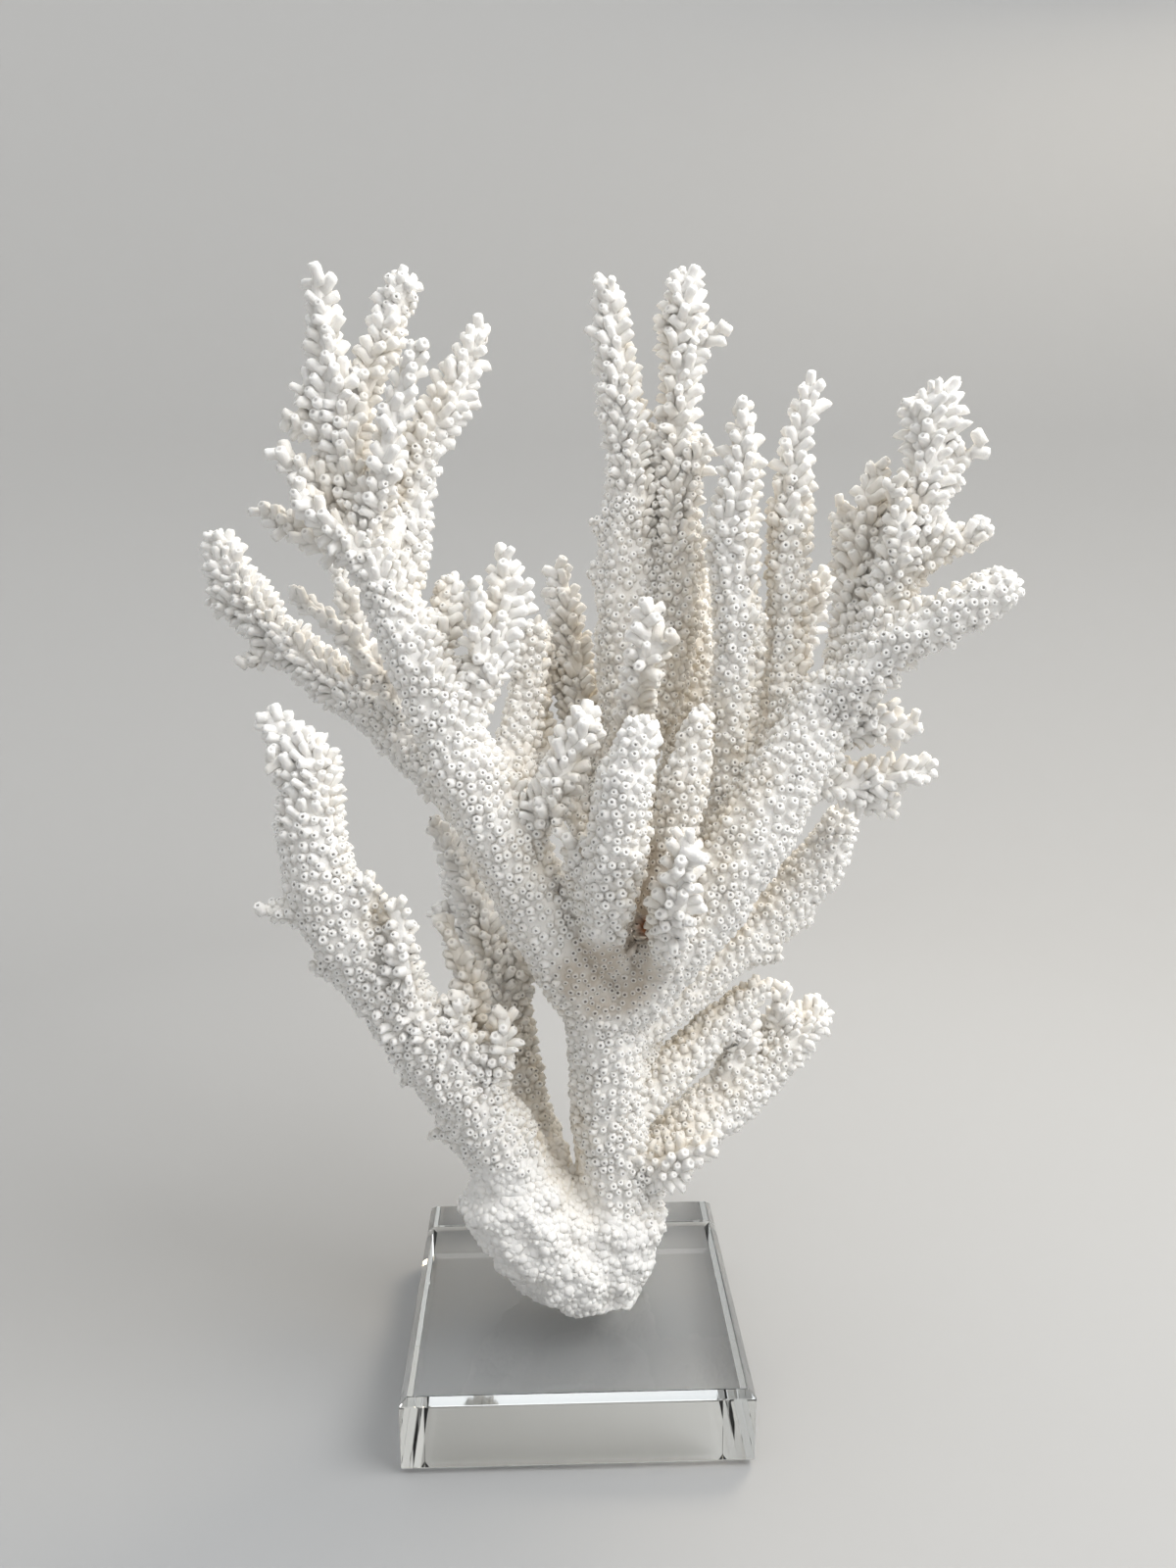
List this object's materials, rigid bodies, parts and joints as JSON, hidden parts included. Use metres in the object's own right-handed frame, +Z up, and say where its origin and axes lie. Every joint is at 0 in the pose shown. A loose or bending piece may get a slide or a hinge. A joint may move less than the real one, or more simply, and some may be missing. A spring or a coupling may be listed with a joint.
{
  "type": "branching coral on an acrylic block",
  "caption": "White branching stony coral, its limbs covered in small cups, standing upright on a clear square acrylic block with bevelled edges.",
  "frame": {"origin": "middle of the block's underside", "axes": "+Z up along the height of the colony, -Y towards the front of the colony, +X to the right seen from the front"},
  "size_m": [0.243, 0.1315, 0.342],
  "materials": {
    "coral_skeleton": "matt bleached aragonite, slightly translucent at the thin tips",
    "clear_acrylic": "polished clear cast acrylic"
  },
  "bodies": {
    "root": {"acrylic_block": "clear_acrylic", "holdfast": "coral_skeleton", "trunk": "coral_skeleton", "lower_left_limb": "coral_skeleton", "lower_left_back_limb": "coral_skeleton", "low_back_shoot": "coral_skeleton", "low_right_limb": "coral_skeleton", "low_right_front_shoot": "coral_skeleton", "lower_right_limb": "coral_skeleton", "lower_right_inner_shoot": "coral_skeleton", "left_limb": "coral_skeleton", "left_outer_finger": "coral_skeleton", "left_forked_finger": "coral_skeleton", "left_front_finger": "coral_skeleton", "left_inner_finger": "coral_skeleton", "left_bushy_shoot": "coral_skeleton", "left_back_shoot": "coral_skeleton", "back_left_limb": "coral_skeleton", "right_limb": "coral_skeleton", "tall_left_column": "coral_skeleton", "tall_right_column": "coral_skeleton", "centre_front_finger": "coral_skeleton", "centre_right_finger": "coral_skeleton", "centre_knobby_finger": "coral_skeleton", "centre_left_finger": "coral_skeleton", "centre_small_finger": "coral_skeleton", "centre_upper_finger": "coral_skeleton", "slim_inner_finger": "coral_skeleton", "slim_outer_finger": "coral_skeleton", "right_back_shoot": "coral_skeleton", "right_tall_finger": "coral_skeleton", "right_inner_finger": "coral_skeleton", "right_low_finger": "coral_skeleton", "right_upper_twig": "coral_skeleton", "right_lower_twig": "coral_skeleton", "faint_back_shoot": "coral_skeleton", "back_centre_limb": "coral_skeleton", "back_right_limb": "coral_skeleton", "back_lower_limb": "coral_skeleton"}
  },
  "joints": []
}
